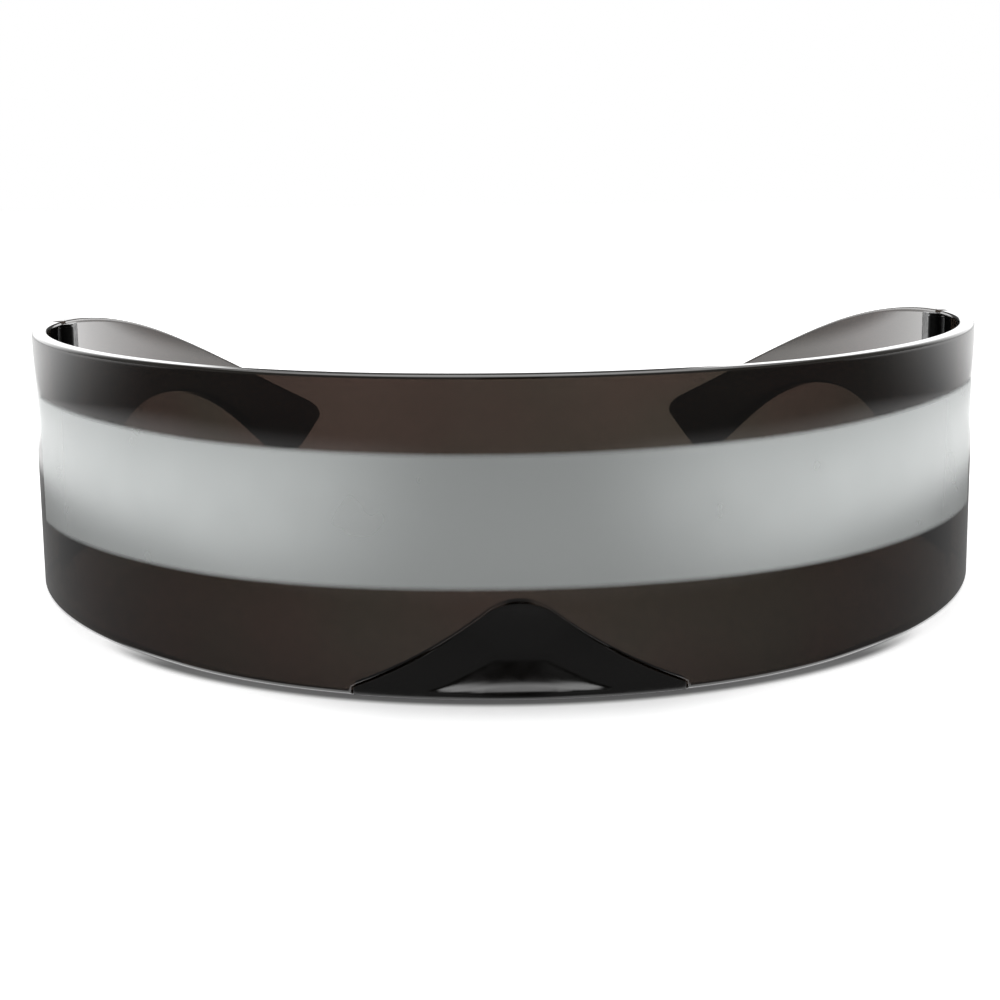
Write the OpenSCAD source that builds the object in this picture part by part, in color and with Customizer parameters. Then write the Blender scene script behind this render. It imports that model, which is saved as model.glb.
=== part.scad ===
// Wrap-round visor sunglasses: one curved smoke shield with a soft mirrored
// stripe, a dark nose bridge moulded into its lower edge, and two smoke arms
// that fold inward on screwed three-knuckle hinges.
// Lengths are in millimetres. The front faces -Y, +Z is up, and left and right
// are as seen from the front. The shield stands on its lower edge at Z = 0.

/* [Shield] */
// Height of the shield from its lower edge to its upper edge
shield_h = 39.5; // [36:0.5:50]
// Thickness of the moulded wall of the shield and the arms
wall_t = 2.4; // [2.2:0.1:3]
// Radius that rounds the long edges of the shield
edge_r = 0.5; // [0.2:0.05:0.8]
// Outer plan radius across the front
front_r = 62.6; // [56:0.2:72]
// Plan angle from the middle at which the front arc ends
front_sweep = 44; // [38:1:50]
// Outer plan radius of the sides
side_r = 106.4; // [90:0.2:125]
// Plan angle from the middle at which the side arc ends
side_sweep = 75; // [70:1:80]
// Outer plan radius of the last bend before the sides run straight back
end_r = 63; // [50:1:80]
// Length of the wall behind that bend, on the arm's own arc, up to the hinge
tail_l = 4.6; // [3:0.1:8]

/* [Mirror stripe] */
// Height of the stripe's middle line above the lower edge
stripe_z = 21.9; // [19:0.1:25]
// Height of the stripe at the middle of the front
stripe_h = 16.2; // [8:0.1:20]
// How far each long edge has spread where the stripe ends
stripe_flare = 1.3; // [0:0.1:2.5]
// Plan angle from the middle at which the stripe ends
stripe_sweep = 70; // [50:1:80]
// Thickness of the mirror layer
film_t = 0.1; // [0.05:0.01:0.3]

/* [Nose bridge] */
// Height of the bell-shaped notch in the lower edge
bell_h = 12; // [10:0.1:14]
// Width of the notch at its feet
bell_w = 41.2; // [36:0.2:48]
// Height of the upright feet in which the notch's flanks end
foot_h = 0.95; // [0.5:0.05:2]
// Radius of the top of the notch
bell_top_r = 6.8; // [5:0.1:8]
// Radius of the hollow flanks of the notch
bell_flank_r = 75; // [60:1:120]
// Joint line between the notch and the bridge
bond_gap = 0.05; // [0.02:0.01:0.15]
// Thickness of the bridge's front plate
plate_t = 4.2; // [3.6:0.1:5]
// Wall of the saddle behind the plate
saddle_t = 1.8; // [1.2:0.1:2.4]
// How far the saddle reaches behind the front of the shield
saddle_reach = 16; // [13:0.5:20]
// How far the saddle spreads outward at its rear edge
saddle_flare = 2.2; // [0:0.1:3.5]
// Depth of the scoop in the front plate
dish_depth = 1.9; // [1:0.1:2.4]
// Radius with which the scoop turns up over the rim
dish_low_r = 7; // [5:0.5:9]
// Plan radius of the scoop's two side walls
dish_side_r = 62; // [40:1:80]
// Height of the rim left under the scoop
rim_h = 0.6; // [0.5:0.1:1.2]

/* [Hinges] */
// Height of a hinge over its three knuckles
hinge_h = 12; // [9:0.5:16]
// Distance from the shield's upper edge down to the top knuckle
hinge_drop = 0.9; // [0.8:0.1:4]
// Outer radius of the knuckles
knuckle_r = 1.3; // [1.1:0.05:1.5]
// Gap between neighbouring knuckles
knuckle_gap = 0.1; // [0.05:0.01:0.2]
// How far the hinge axis lies inside the shield's inner face
axis_inset = 0.3; // [0.1:0.05:0.6]
// Radius of the hinge screw's shank
pin_r = 0.7; // [0.5:0.05:0.8]
// Radial clearance of the turning knuckle on the shank
pin_fit = 0.04; // [0.02:0.01:0.08]
// Radial clearance of the shank in the fixed knuckles
thread_fit = 0.02; // [0.01:0.01:0.04]
// Radius of the screw's head
head_r = 1.1; // [0.9:0.05:1.3]
// Height of the screw's head
head_h = 0.45; // [0.3:0.05:0.6]
// Width of the slot in the screw's head
slot_w = 0.3; // [0.2:0.05:0.4]
// Depth of the slot in the screw's head
slot_d = 0.2; // [0.1:0.05:0.25]
// Length of the hinge leaf in the shield
front_leaf_l = 4; // [3:0.1:6]
// Length of the hinge leaf in the arm
arm_leaf_l = 8; // [6:0.5:12]
// Thickness of a hinge leaf
leaf_t = 0.8; // [0.6:0.05:1]
// Radius of the anchor pegs that hold a leaf in the wall
anchor_r = 0.7; // [0.4:0.05:0.9]
// Length of the anchor pegs
anchor_l = 0.6; // [0.4:0.05:0.7]
// Clearance of a leaf in its pocket
pocket_fit = 0.03; // [0.02:0.01:0.08]
// Clearance around the knuckles in both walls
swing_gap = 0.25; // [0.2:0.05:0.4]
// Gap between the shield's end and the arm
end_gap = 0.4; // [0.3:0.05:0.8]

/* [Arms] */
// Length of an arm along its curve, from the hinge to the tip
arm_l = 108.8; // [100:0.2:120]
// Outer plan radius of an arm
arm_r = 181.2; // [165:0.2:240]

/* [Hidden] */

// Overrun of every cut past the face it starts from
over = 1;
// Facets of the long arcs and of small round parts
long_fn = 360;
small_fn = 48;

smoke = [0.27, 0.25, 0.21];
silver = [0.72, 0.72, 0.71];
black = [0.08, 0.08, 0.07];
steel = [0.2, 0.2, 0.2];

// Plan of the shield: three tangent arcs on each side of the middle, and a
// short tail on the arc of the arm
end_sweep = 90;
function plan_dir(a) = [sin(a), -cos(a)];
front_c = [0, front_r];
side_c = front_c + (front_r - side_r) * plan_dir(front_sweep);
end_c = side_c + (side_r - end_r) * plan_dir(side_sweep);
half_w = end_c[0] + end_r;
function arc_angle(length, radius) = length / radius * 180 / PI;
arm_c = [half_w - arm_r, end_c[1]];
// The tail ends at a whole step of angle, so that no digit of its start is lost
angle_grain = 0.01;
tail_sweep = round(arc_angle(tail_l, arm_r) / angle_grain) * angle_grain;
wall_end_a = end_sweep + tail_sweep;
arm_start_a = wall_end_a + arc_angle(end_gap, arm_r);

// Moves to p in whole microns and then by the rest, so that no digit of a
// computed place is lost and neighbouring arcs of a wall meet face to face
grain = 0.001;
module move_to(p) {
    coarse = [for (v = p) round(v / grain) * grain];
    translate(coarse) translate(p - coarse) children();
}

// Sweeps a profile, drawn with its radius as x, about c from plan angle a0 to a1
module along_arc(c, a0, a1)
    move_to([c[0], c[1], 0])
        rotate_extrude(angle = a1 - a0, start = a0 - end_sweep, $fn = long_fn) children();

// The same sweep on the right side of the object and on its left side
module along_both_sides(c, a0, a1) {
    along_arc(c, a0, a1) children();
    along_arc([-c[0], c[1]], -a1, -a0) children();
}

module right_and_left() {
    children();
    mirror([1, 0, 0]) children();
}

module on_side(side)
    if (side < 0) mirror([1, 0, 0]) children();
    else children();

module rounded_rect(w, h, r) {
    translate([r, 0]) square([w - 2 * r, h]);
    translate([0, r]) square([w, h - 2 * r]);
    for (x = [r, w - r], y = [r, h - r])
        translate([x, y]) circle(r, $fn = small_fn);
}

// Section of the shield's wall, its outer face at radius r
module wall_section(r)
    translate([r - wall_t, 0]) rounded_rect(wall_t, shield_h, edge_r);

// Bell outline: a top arc about bell_top and a hollow flank about flank_c,
// tangent to each other, the flank ending in an upright foot
bell_top = [0, bell_h - bell_top_r];
bell_foot = [bell_w / 2, foot_h];
foot_way = bell_foot - bell_top;
foot_d = norm(foot_way);
foot_u = foot_way / foot_d;
centre_d = bell_top_r + bell_flank_r;
centre_along = (pow(foot_d, 2) + pow(centre_d, 2) - pow(bell_flank_r, 2)) / (2 * foot_d);
centre_across = sqrt(pow(centre_d, 2) - pow(centre_along, 2));
flank_c = bell_top + centre_along * foot_u + centre_across * [-foot_u[1], foot_u[0]];
blend_a = atan2(flank_c[1] - bell_top[1], flank_c[0] - bell_top[0]);
flank_steps = 12;
top_steps = 8;

function on_circle(c, r, a) = c + r * [cos(a), sin(a)];
function steps(a0, a1, n) = [for (i = [0:n]) a0 + (a1 - a0) * i / n];
function reversed(p) = [for (i = [len(p) - 1:-1:0]) p[i]];
function flank_foot_a(inset) = asin((flank_c[1] - foot_h) / (bell_flank_r + inset)) - 180;

// Right half of the outline, from the foot up to just short of the top
function bell_half(inset) = concat(
    [[on_circle(flank_c, bell_flank_r + inset, flank_foot_a(inset))[0], 0]],
    [for (a = steps(flank_foot_a(inset), blend_a - 180, flank_steps))
        on_circle(flank_c, bell_flank_r + inset, a)],
    [for (i = [1:top_steps - 1])
        on_circle(bell_top, bell_top_r - inset,
                  blend_a + (90 - blend_a) * i / top_steps)]
);
function bell_outline(inset) = concat(
    bell_half(inset),
    [bell_top + [0, bell_top_r - inset]],
    [for (p = reversed(bell_half(inset))) [-p[0], p[1]]]
);

// The bell as a block that runs from y0 to y1
module bell_block(inset, y0, y1)
    translate([0, y1, 0]) rotate([90, 0, 0])
        linear_extrude(y1 - y0) polygon(bell_outline(inset));

// Where the notch's foot meets the inner face of the shield
notch_back = front_r - sqrt(pow(front_r - wall_t, 2) - pow(bell_w / 2, 2));

// Arm: its middle and inner faces
arm_mid_r = arm_r - wall_t / 2;
arm_inner_r = arm_r - wall_t;

// Hinge axis, its knuckles and its two leaves
hinge_p = arm_c + (arm_inner_r - axis_inset) * plan_dir((wall_end_a + arm_start_a) / 2);
hinge_x = hinge_p[0];
hinge_y = hinge_p[1];
hinge_top = shield_h - hinge_drop;
hinge_foot = hinge_top - hinge_h;
knuckle_h = (hinge_h - 2 * knuckle_gap) / 3;
knuckle_pitch = knuckle_h + knuckle_gap;
front_leaf_sweep = arc_angle(front_leaf_l, arm_inner_r);
arm_leaf_sweep = arc_angle(arm_leaf_l, arm_inner_r);
anchor_along_share = 0.62;
anchor_up_shares = [0.25, 0.75];

// Side outline of an arm as Bezier pieces, in shares of the arm's length and of
// the shield's height: crown, slope to the tip, tip, heel, rise, arch and front
arm_curve_shares = [
    [[0, 1], [0.183, 0.993], [0.336, 0.944], [0.481, 0.838]],
    [[0.481, 0.838], [0.638, 0.724], [0.812, 0.529], [0.9645, 0.354]],
    [[0.9645, 0.354], [0.9915, 0.322], [1.0085, 0.276], [0.995, 0.241]],
    [[0.995, 0.241], [0.9855, 0.216], [0.949, 0.13], [0.925, 0.091]],
    [[0.925, 0.091], [0.906, 0.048], [0.8945, 0.046], [0.8745, 0.091]],
    [[0.8745, 0.091], [0.831, 0.175], [0.757, 0.329], [0.692, 0.41]],
    [[0.692, 0.41], [0.619, 0.503], [0.536, 0.549], [0.453, 0.549]],
    [[0.453, 0.549], [0.361, 0.549], [0.26, 0.468], [0.214, 0.316]],
    [[0.214, 0.316], [0.18, 0.208], [0.154, 0], [0.084, 0]]
];
curve_steps = 7;
function bezier(p, t) =
    pow(1 - t, 3) * p[0] + 3 * pow(1 - t, 2) * t * p[1]
    + 3 * (1 - t) * pow(t, 2) * p[2] + pow(t, 3) * p[3];
arm_start_sweep = arm_start_a - end_sweep;
function on_arm(share) = [
    arm_c[1] + arm_mid_r * sin(arm_start_sweep + arc_angle(share[0] * arm_l, arm_mid_r)),
    share[1] * shield_h
];
arm_outline = concat(
    [on_arm([0, 0]) - [over, 0], on_arm([0, 1]) - [over, 0]],
    [for (piece = arm_curve_shares, i = [0:curve_steps - 1])
        on_arm(bezier(piece, i / curve_steps))],
    [on_arm(arm_curve_shares[len(arm_curve_shares) - 1][3])]
);
arm_end_y = max([for (p = arm_outline) p[0]]);
arm_sweep_share = 1.1;
arm_sweep = arc_angle(arm_l, arm_mid_r) * arm_sweep_share;

// The origin lies under the middle of the whole object
module placed() translate([0, (film_t - arm_end_y) / 2, 0]) children();

// Leaf of a hinge let into the wall, grown by fit when it is used as a pocket
module leaf_plate(c, r, a0, a1, z0, h, fit)
    along_arc(c, a0, a1)
        translate([r - over * min(fit, 1), z0 - fit])
            square([leaf_t + fit + over * min(fit, 1), h + 2 * fit]);

module anchors(c, r, a, fit)
    for (share = anchor_up_shares)
        translate([c[0], c[1], hinge_foot + hinge_h * share])
            rotate([0, 0, a - end_sweep]) translate([r + leaf_t - anchor_l, 0, 0])
                rotate([0, 90, 0])
                    cylinder(h = 2 * anchor_l + fit, r = anchor_r + fit, $fn = small_fn);

module front_leaf(fit) {
    leaf_plate(arm_c, arm_inner_r, wall_end_a - front_leaf_sweep, wall_end_a, hinge_foot, hinge_h, fit);
    anchors(arm_c, arm_inner_r, wall_end_a - front_leaf_sweep * anchor_along_share, fit);
}

module arm_leaf(fit) {
    leaf_plate(arm_c, arm_inner_r, arm_start_a, arm_start_a + arm_leaf_sweep, hinge_foot, hinge_h, fit);
    anchors(arm_c, arm_inner_r, arm_start_a + arm_leaf_sweep * anchor_along_share, fit);
}

// Room that the knuckles turn in, open at the top for the screw
module knuckle_room()
    translate([hinge_x, hinge_y, hinge_foot - knuckle_gap])
        cylinder(h = shield_h, r = knuckle_r + swing_gap, $fn = small_fn);

module knuckle(i, r, grow)
    translate([hinge_x, hinge_y, hinge_foot + i * knuckle_pitch - grow])
        cylinder(h = knuckle_h + 2 * grow, r = r, $fn = small_fn);

module hinge_bore(r)
    translate([hinge_x, hinge_y, hinge_foot - over])
        cylinder(h = hinge_h + 2 * over, r = r, $fn = small_fn);

module shield_blank() {
    along_arc(front_c, -front_sweep, front_sweep) wall_section(front_r);
    along_both_sides(side_c, front_sweep, side_sweep) wall_section(side_r);
    along_both_sides(end_c, side_sweep, end_sweep) wall_section(end_r);
    along_both_sides(arm_c, end_sweep, wall_end_a) wall_section(arm_r);
}

module shield() placed() color(smoke) difference() {
    shield_blank();
    bell_block(0, -over, notch_back + over);
    right_and_left() {
        front_leaf(pocket_fit);
        knuckle_room();
    }
}

// Half-height of the stripe at distance x from the middle
stripe_end_x = side_c[0] + side_r * sin(stripe_sweep);
stripe_steps = 12;
function stripe_half(x) = stripe_h / 2 + stripe_flare * pow(x / stripe_end_x, 2);
stripe_xs = steps(-stripe_end_x - over, stripe_end_x + over, 2 * stripe_steps);
stripe_outline = concat(
    [for (x = stripe_xs) [x, stripe_z + stripe_half(x)]],
    [for (x = reversed(stripe_xs)) [x, stripe_z - stripe_half(x)]]
);

module film_section(r)
    translate([r, 0]) square([film_t, shield_h]);

module mirror_stripe() placed() color(silver) intersection() {
    union() {
        along_arc(front_c, -front_sweep, front_sweep) film_section(front_r);
        along_both_sides(side_c, front_sweep, stripe_sweep) film_section(side_r);
    }
    translate([0, end_c[1], 0]) rotate([90, 0, 0])
        linear_extrude(end_c[1] + over) polygon(stripe_outline);
}

// Saddle behind the front plate: bell sections that start inside the plate,
// along the curve of the wall, and spread toward a flat rear edge
saddle_root = (wall_t + plate_t) / 2;
saddle_steps = 6;
function root_y(x) = front_r - sqrt(pow(front_r - saddle_root, 2) - pow(x, 2));
function saddle_inset(t) = 2 * bond_gap - saddle_flare * pow(t, 2);
function saddle_loop(t) = [
    for (p = concat(bell_outline(saddle_inset(t)),
                    reversed(bell_outline(saddle_inset(t) + saddle_t))))
        [p[0], root_y(p[0]) * (1 - t) + saddle_reach * t, p[1]]
];
saddle_n = len(bell_outline(0));

// Two triangles on four corners, with the diagonal mirrored left to right
function quad(a, b, c, d, turned) = turned ? [[a, b, c], [a, c, d]] : [[a, b, d], [b, c, d]];

module saddle() {
    loops = [for (i = [0:saddle_steps]) saddle_loop(i / saddle_steps)];
    ring = 2 * saddle_n;
    points = [for (loop = loops, p = loop) p];
    side_faces = [
        for (i = [0:saddle_steps - 1], j = [0:ring - 1])
            each quad(i * ring + j, i * ring + (j + 1) % ring,
                      (i + 1) * ring + (j + 1) % ring, (i + 1) * ring + j,
                      j % saddle_n < saddle_n / 2)
    ];
    front_cap = [
        for (j = [0:saddle_n - 2])
            each quad(j + 1, j, ring - 1 - j, ring - 2 - j, j < saddle_n / 2)
    ];
    rear_cap = [
        for (f = front_cap) [for (k = reversed(f)) k + saddle_steps * ring]
    ];
    polyhedron(points, concat(side_faces, front_cap, rear_cap), convexity = 6);
}

// Side outline of the bridge: rounded lower lobes and a rear edge that leans
// forward toward the top
lobe_r_share = 0.4;
lean_share = 0.3;
lobe_r = (saddle_reach - plate_t) * lobe_r_share;
bridge_lean = (saddle_reach - plate_t) * lean_share;
bridge_side = concat(
    [[0, 0]],
    [for (a = steps(-90, 0, top_steps))
        on_circle([saddle_reach - lobe_r, lobe_r], lobe_r, a)],
    [[saddle_reach - bridge_lean, bell_h + saddle_flare + over], [0, bell_h + saddle_flare + over]]
);

module bridge_trim()
    translate([-bell_w, 0, 0]) rotate([90, 0, 90])
        linear_extrude(2 * bell_w) polygon(bridge_side);

// Scoop: hollow upward over the rim, and long and flat toward the notch's top
dish_low_z = rim_h + sqrt(pow(dish_low_r, 2) - pow(dish_low_r - dish_depth, 2));
dish_high_r = (pow(bell_h - dish_low_z, 2) + pow(dish_depth, 2)) / (2 * dish_depth);
dish_slack_share = 0.08;
plate_sweep = asin(bell_w / 2 / (front_r - plate_t)) + arc_angle(over, front_r);

module dish_section() {
    intersection() {
        translate([front_r - dish_depth + dish_low_r, dish_low_z])
            circle(dish_low_r, $fn = long_fn);
        translate([front_r - wall_t, 0]) square([2 * dish_low_r, dish_low_z]);
    }
    intersection() {
        translate([front_r - dish_depth + dish_high_r, dish_low_z])
            circle(dish_high_r, $fn = long_fn);
        translate([front_r - wall_t, dish_low_z]) square([2 * dish_low_r, bell_h]);
    }
}

module dish() intersection() {
    along_arc(front_c, -plate_sweep, plate_sweep) dish_section();
    translate([0, dish_depth * (1 + dish_slack_share) - dish_side_r, 0])
        cylinder(h = shield_h, r = dish_side_r, $fn = long_fn);
}

module bridge_plate() difference() {
    intersection() {
        along_arc(front_c, -plate_sweep, plate_sweep)
            translate([front_r - plate_t, 0]) rounded_rect(plate_t, shield_h, edge_r);
        bell_block(bond_gap, -over, notch_back + plate_t);
    }
    dish();
}

module nose_bridge() placed() color(black) {
    bridge_plate();
    intersection() {
        saddle();
        bridge_trim();
    }
}

module hinge_front(side) placed() on_side(side) color(steel) difference() {
    union() {
        front_leaf(0);
        for (i = [0, 2]) knuckle(i, knuckle_r, 0);
    }
    knuckle(1, knuckle_r + swing_gap, knuckle_gap);
    hinge_bore(pin_r + thread_fit);
}

module hinge_arm(side) placed() on_side(side) color(steel) difference() {
    union() {
        arm_leaf(0);
        knuckle(1, knuckle_r, 0);
    }
    for (i = [0, 2]) knuckle(i, knuckle_r + swing_gap, knuckle_gap);
    hinge_bore(pin_r + pin_fit);
}

module hinge_screw(side) placed() on_side(side) color(steel)
    translate([hinge_x, hinge_y, hinge_foot]) difference() {
        union() {
            cylinder(h = hinge_h + head_h / 2, r = pin_r, $fn = small_fn);
            translate([0, 0, hinge_h]) cylinder(h = head_h, r = head_r, $fn = small_fn);
        }
        translate([-head_r - over, -slot_w / 2, hinge_h + head_h - slot_d])
            cube([2 * (head_r + over), slot_w, slot_d + over]);
    }

module temple(side) placed() on_side(side) color(smoke) difference() {
    intersection() {
        along_arc(arm_c, arm_start_a, arm_start_a + arm_sweep)
            translate([arm_inner_r, 0]) square([wall_t, shield_h]);
        rotate([90, 0, 90]) linear_extrude(half_w + over) polygon(arm_outline);
    }
    arm_leaf(pocket_fit);
    knuckle_room();
}

shield();
mirror_stripe();
nose_bridge();
hinge_front(-1);  // hinge_front_left
hinge_front(1);  // hinge_front_right
hinge_arm(-1);  // hinge_arm_left
hinge_arm(1);  // hinge_arm_right
hinge_screw(-1);  // hinge_screw_left
hinge_screw(1);  // hinge_screw_right
temple(-1);  // temple_left
temple(1);  // temple_right
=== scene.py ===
"""Wrap-round visor sunglasses on a white table, dressed around the CAD frame.

Lengths in the value blocks are millimetres, angles are degrees, and a share is
a part of a whole. A flat place is (along, up, deep): along the outer face of a
wall, up from the table, and inward from the outer face.
"""

from math import asin, atan2, cos, degrees, pi, radians, sin, sqrt

import bpy
from mathutils import Matrix, Vector


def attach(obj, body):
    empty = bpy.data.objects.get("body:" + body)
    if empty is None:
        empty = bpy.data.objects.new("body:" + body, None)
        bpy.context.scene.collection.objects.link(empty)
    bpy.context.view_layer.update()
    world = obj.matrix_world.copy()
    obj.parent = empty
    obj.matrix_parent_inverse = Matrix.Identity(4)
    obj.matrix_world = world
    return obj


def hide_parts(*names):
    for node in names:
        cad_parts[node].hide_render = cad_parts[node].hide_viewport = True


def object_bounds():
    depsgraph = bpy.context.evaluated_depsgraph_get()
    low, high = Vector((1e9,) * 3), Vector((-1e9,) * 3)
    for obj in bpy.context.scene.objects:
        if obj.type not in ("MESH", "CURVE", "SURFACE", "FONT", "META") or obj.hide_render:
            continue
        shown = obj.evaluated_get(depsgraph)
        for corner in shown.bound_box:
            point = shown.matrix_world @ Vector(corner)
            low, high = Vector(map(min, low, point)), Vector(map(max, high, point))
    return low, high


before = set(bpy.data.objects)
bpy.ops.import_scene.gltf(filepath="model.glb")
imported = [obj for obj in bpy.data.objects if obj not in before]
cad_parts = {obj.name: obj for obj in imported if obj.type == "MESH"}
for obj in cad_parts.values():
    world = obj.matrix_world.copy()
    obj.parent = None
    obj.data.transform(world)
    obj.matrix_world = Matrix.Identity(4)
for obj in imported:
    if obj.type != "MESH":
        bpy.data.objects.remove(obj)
cad_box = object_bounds()

MM = 0.001

# Shield
SHIELD_H = 39.5
WALL_T = 2.4
EDGE_R = 0.5
FRONT_R, FRONT_SWEEP = 62.6, 44
SIDE_R, SIDE_SWEEP = 106.4, 75
END_R, END_SWEEP = 63.0, 90
TAIL_L, ANGLE_GRAIN = 4.6, 0.01

# Mirror stripe
STRIPE_Z, STRIPE_H = 21.9, 17.0
STRIPE_FLARE, STRIPE_SWEEP, STRIPE_LEAN_SHARE = 1.3, 70, 0.0055
FILM_T, FILM_FADE = 0.1, 0.9

# Nose bridge
BELL_H, BELL_W, FOOT_H = 12.0, 41.2, 0.95
BELL_TOP_R, BELL_FLANK_R = 6.8, 75.0
BELL_BAND = 1.0
BOND_GAP = 0.05
PLATE_T, PLATE_EDGE_R, SADDLE_T = 3.0, 0.12, 1.8
SADDLE_REACH, SADDLE_DROOP = 12.0, 3.0
DISH_DEPTH, DISH_LOW_R, DISH_SIDE_R = 1.9, 7.0, 62.0
RIM_H, RIM_ROUND = 0.6, 0.9
DISH_SLACK_SHARE = 0.08
LOBE_R_SHARE, LEAN_SHARE = 0.4, 0.3

# Hinges
HINGE_H, HINGE_DROP = 12.0, 0.9
KNUCKLE_R, KNUCKLE_GAP = 1.3, 0.1
AXIS_INSET = 0.3
FRONT_LEAF_L, ARM_LEAF_L, LEAF_T = 4.0, 8.0, 0.8
POCKET_FIT, SWING_GAP, END_GAP = 0.03, 0.25, 0.4
ROOM_SHARES = (0, 0.08, 0.2, 0.4, 0.6, 0.8, 0.94, 1.0)
SLIVER = 0.01

# Arms, with their side outline in shares of the length and of the shield's height
ARM_L, ARM_R = 106.4, 181.2
CROWN_SHARES = [
    [(0, 1), (0.183, 0.993), (0.336, 0.944), (0.481, 0.838)],
    [(0.481, 0.838), (0.638, 0.724), (0.812, 0.529), (0.9645, 0.354)],
]
TIP_SHARES = [[(0.9645, 0.354), (0.9915, 0.322), (1.0085, 0.276), (0.995, 0.241)]]
HEEL_SHARES = [
    [(0.084, 0), (0.154, 0), (0.18, 0.208), (0.214, 0.316)],
    [(0.214, 0.316), (0.26, 0.468), (0.361, 0.549), (0.453, 0.549)],
    [(0.453, 0.549), (0.536, 0.549), (0.619, 0.503), (0.692, 0.41)],
    [(0.692, 0.41), (0.757, 0.329), (0.831, 0.175), (0.8745, 0.091)],
    [(0.8745, 0.091), (0.8945, 0.046), (0.906, 0.048), (0.925, 0.091)],
    [(0.925, 0.091), (0.949, 0.13), (0.9855, 0.216), (0.995, 0.241)],
]

# Table: spans along it, and its painted light and shade at their two ends: glow
# seen straight on, a painted contact shadow, and light that only gloss sees. A bow
# span is counted outward from the shield's front arc
TABLE_HALF, TABLE_DROP, TABLE_WHITE = 3000, 0.05, 0.85
BOW_SPAN, BOW_GLOW = (2, 11), (0.18, 0.38)
OUTSIDE_BOW_SPAN, FRONT_EDGE_SPAN = (-1, 0), (-77, -60)
BESIDE_SPAN, BESIDE_GLOW = (12, 40), (0.0, 0.25)
CONTACT_BOW_SPAN, CONTACT_SHADE = (1, 3.2), (0.85, 0.0)
LIP_BOW_SPAN, LIP_LIGHT = (0.4, 1.6), (2.0, 0.0)
FAR_SPAN, FAR_GLOW = (150, 500), (0.0, 0.4)
REAR_SPAN, REAR_LIGHT = (-20, 310), (0.11, 1.0)
BETWEEN_SPAN, BETWEEN_SIDE_SPAN, BETWEEN_LIGHT = (80, 150), (150, 210), (0.0, 1.5)
NEAR_SPAN, NEAR_LIGHT = (100, 200), (0.19, 0.0)
RING_INNER_SPAN, RING_OUTER_SPAN = (120, 160), (240, 320)
RING_SIDE_SPAN, RING_LIGHT = (40, 170), (0.25, 1.3)

# Room: spans of the direction's X, Y or Z, and its light at their two ends
WALL_SPAN, WALL_LIGHT = (0.45, 0.93), (0.11, 1.0)
STRIP_FOOT_SPAN, STRIP_TOP_SPAN, STRIP_GAIN = (0.0, 0.1), (0.3, 0.6), 1.2
ASKEW_SPAN, ASKEW_LIGHT = (0.115, 0.155), (0.05, 1.0)
CEILING_SPAN, CEILING_LIGHT = (0.6, 1.0), (0.0, 4.5)
AMBIENT = 0.55

# Lamp and camera; the camera's turns are radians and its lengths pixels
LAMP_AT, LAMP_SIZE, LAMP_POWER = (0, 50, 900), 900, 6.0
CAMERA_AT = (-5.84, -209.87, 62.98)
CAMERA_PITCH, CAMERA_YAW, CAMERA_ROLL = 0.1807, 0.0171, -0.0117
FOCAL_PX, FRAME_PX = 1801.85, 1000

# The CAD box gives how far the plan is set back from the front of the film
SET_BACK = cad_box[0].y / MM + FILM_T


# Plan of the shield and the arms


def plan_dir(a):
    return Vector((sin(radians(a)), -cos(radians(a))))


FRONT_C = Vector((0, FRONT_R))
SIDE_C = FRONT_C + (FRONT_R - SIDE_R) * plan_dir(FRONT_SWEEP)
END_C = SIDE_C + (SIDE_R - END_R) * plan_dir(SIDE_SWEEP)
ARM_C = END_C + Vector((END_R - ARM_R, 0))
ARM_MID_R, ARM_INNER_R = ARM_R - WALL_T / 2, ARM_R - WALL_T
TAIL_SWEEP = round(degrees(TAIL_L / ARM_R) / ANGLE_GRAIN) * ANGLE_GRAIN
ARM_START = radians(TAIL_SWEEP) + END_GAP / ARM_R
HINGE_TOP = SHIELD_H - HINGE_DROP
HINGE_FOOT = HINGE_TOP - HINGE_H
ROOM_R = KNUCKLE_R + SWING_GAP
ROOM_REACH = sqrt(ROOM_R**2 - AXIS_INSET**2) - END_GAP / 2
INNER_H = SHIELD_H - 2 * EDGE_R

# Each arc of the wall: where it starts along the outer face, its first plan
# angle, its centre and its radius
FRONT_END = radians(FRONT_SWEEP) * FRONT_R
SIDE_END = FRONT_END + radians(SIDE_SWEEP - FRONT_SWEEP) * SIDE_R
BEND_END = SIDE_END + radians(END_SWEEP - SIDE_SWEEP) * END_R
WALL_END = BEND_END + radians(TAIL_SWEEP) * ARM_R
ARCS = [
    (0, 0, FRONT_C, FRONT_R),
    (FRONT_END, FRONT_SWEEP, SIDE_C, SIDE_R),
    (SIDE_END, SIDE_SWEEP, END_C, END_R),
    (BEND_END, END_SWEEP, ARM_C, ARM_R),
]


def to_frame(x, y, z):
    return Vector((x, y + SET_BACK, z)) * MM


def on_shield(along, up, deep):
    """Bends a flat place onto the shield's curved wall."""
    far = abs(along)
    start, first, centre, radius = [arc for arc in ARCS if far >= arc[0]][-1]
    p = centre + (radius - deep) * plan_dir(first + degrees((far - start) / radius))
    return to_frame(p.x if along >= 0 else -p.x, p.y, up)


def on_arm(side):
    """Bends a flat place onto the curved wall of the arm on that side."""

    def place(along, up, deep):
        back, r = ARM_MID_R * sin(ARM_START + along / ARM_MID_R), ARM_R - deep
        x = ARM_C.x + sqrt(r * r - back * back)
        return to_frame(side * x, ARM_C.y + back, up)

    return place


# Bell outline of the nose notch

BELL_TOP = Vector((0, BELL_H - BELL_TOP_R))


def bell_centre():
    """Centre of the hollow flank, tangent to the top arc, through the foot."""
    way = Vector((BELL_W / 2, FOOT_H)) - BELL_TOP
    d, u = way.length, way.normalized()
    far = BELL_TOP_R + BELL_FLANK_R
    along = (d * d + far * far - BELL_FLANK_R**2) / (2 * d)
    across = sqrt(far * far - along * along)
    return BELL_TOP + along * u + across * Vector((-u.y, u.x))


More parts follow.
